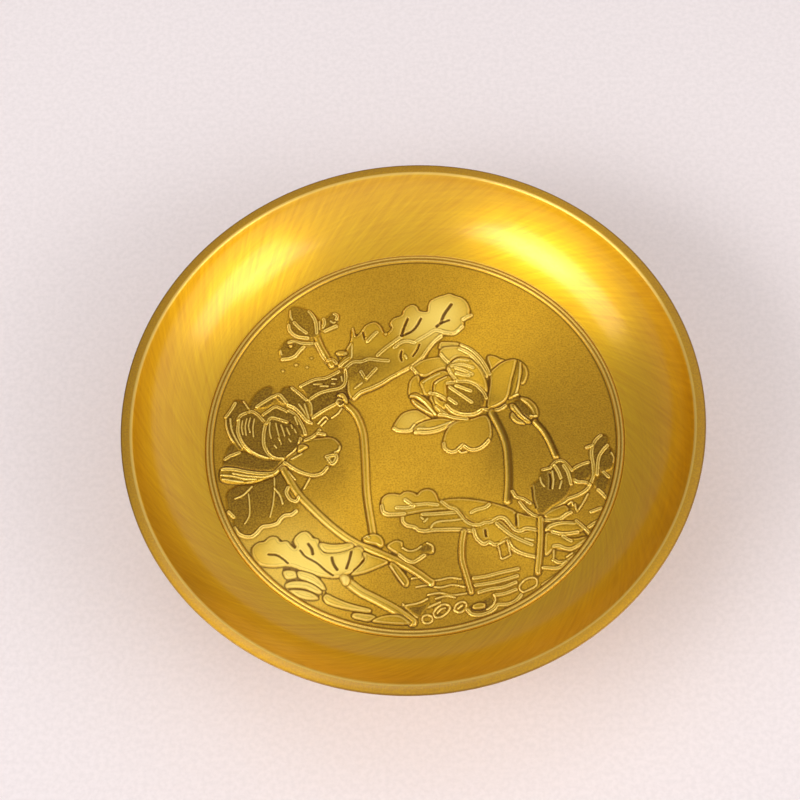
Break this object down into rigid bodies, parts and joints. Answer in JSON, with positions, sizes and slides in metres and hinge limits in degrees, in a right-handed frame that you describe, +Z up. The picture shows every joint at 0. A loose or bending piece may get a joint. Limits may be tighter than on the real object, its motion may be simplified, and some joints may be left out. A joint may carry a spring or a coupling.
{
  "type": "offering dish",
  "caption": "Footed brass offering dish with a flat lip, concave turned wall and a frosted medallion of a lotus pond in low relief.",
  "frame": {"origin": "centre of the foot's base, on the surface the dish stands on", "axes": "+Z up along the dish's turning axis; +Y towards the top of the relief picture; +X to the right of it"},
  "size_m": [0.14, 0.14, 0.042],
  "materials": {
    "turned_brass": "satin, turned and hand-brushed, clear lacquer",
    "frosted_brass": "frosted ground with a smoother raised relief",
    "bead_brass": "satin turned bead",
    "foot_brass": "satin turned",
    "plated_steel": "zinc-plated"
  },
  "bodies": {
    "root": {"dish": "turned_brass", "lotus_medallion": "frosted_brass", "medallion_bezel": "bead_brass", "foot": "foot_brass", "stud": "plated_steel", "flat_washer": "plated_steel", "spring_washer": "plated_steel", "hex_nut": "plated_steel"}
  },
  "joints": []
}
